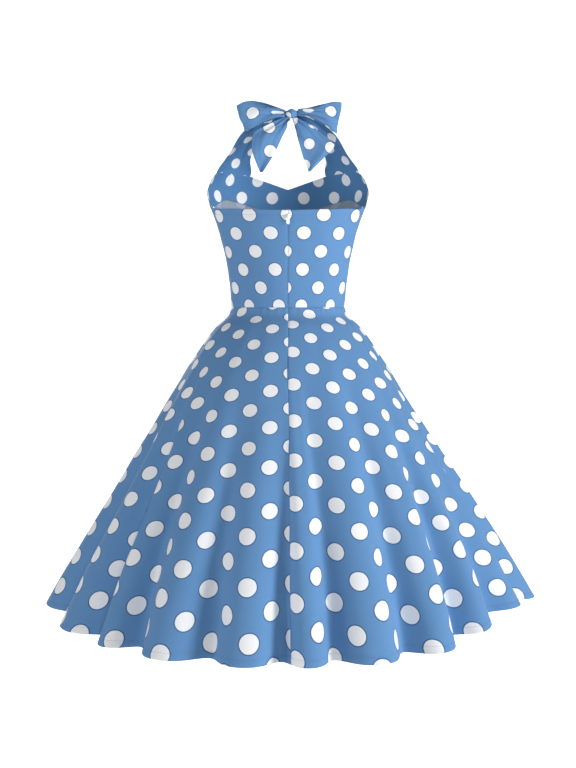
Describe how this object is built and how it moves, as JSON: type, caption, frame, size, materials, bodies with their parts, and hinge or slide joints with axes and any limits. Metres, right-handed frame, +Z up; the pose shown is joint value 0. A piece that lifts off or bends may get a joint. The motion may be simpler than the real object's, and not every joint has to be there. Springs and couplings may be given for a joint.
{
  "type": "halter-neck fit-and-flare dress",
  "caption": "Halter-neck dress with a fitted bodice, a full flared skirt, a bow tied at the nape and a zip at the back.",
  "frame": {"origin": "the nape: the inner face of the halter under the bow, where the neck carries the dress", "axes": "+Z up; -Y towards the back of the dress, the side with the bow and the zip; +X towards the wearer's right"},
  "size_m": [1.0072, 0.9742, 1.0633],
  "materials": {
    "dotted_cotton": "matt woven cotton, blue with white dots",
    "zip_tape": "woven tape",
    "zip_metal": "pale lacquered metal"
  },
  "bodies": {
    "dress": {"bodice_back_left": "dotted_cotton", "bodice_back_right": "dotted_cotton", "bodice_front_centre": "dotted_cotton", "bodice_side_front_left": "dotted_cotton", "bodice_side_front_right": "dotted_cotton", "facing_front": "dotted_cotton", "facing_side_left": "dotted_cotton", "facing_side_right": "dotted_cotton", "strap_left": "dotted_cotton", "strap_right": "dotted_cotton", "bow_knot": "dotted_cotton", "bow_loop_left": "dotted_cotton", "bow_loop_right": "dotted_cotton", "bow_tail_left": "dotted_cotton", "bow_tail_right": "dotted_cotton", "skirt_back_left": "dotted_cotton", "skirt_back_right": "dotted_cotton", "skirt_front": "dotted_cotton", "zip_tape": "zip_tape", "zip_slider": "zip_metal"},
    "zip_pull": {"zip_pull": "zip_metal"}
  },
  "joints": [
    {"name": "pull_swing", "type": "hinge", "parent": "dress", "child": "zip_pull", "pos_m": [0, -0.05447, -0.2165], "axis": [-1, 0, 0], "range_deg": [0, 165]}
  ]
}
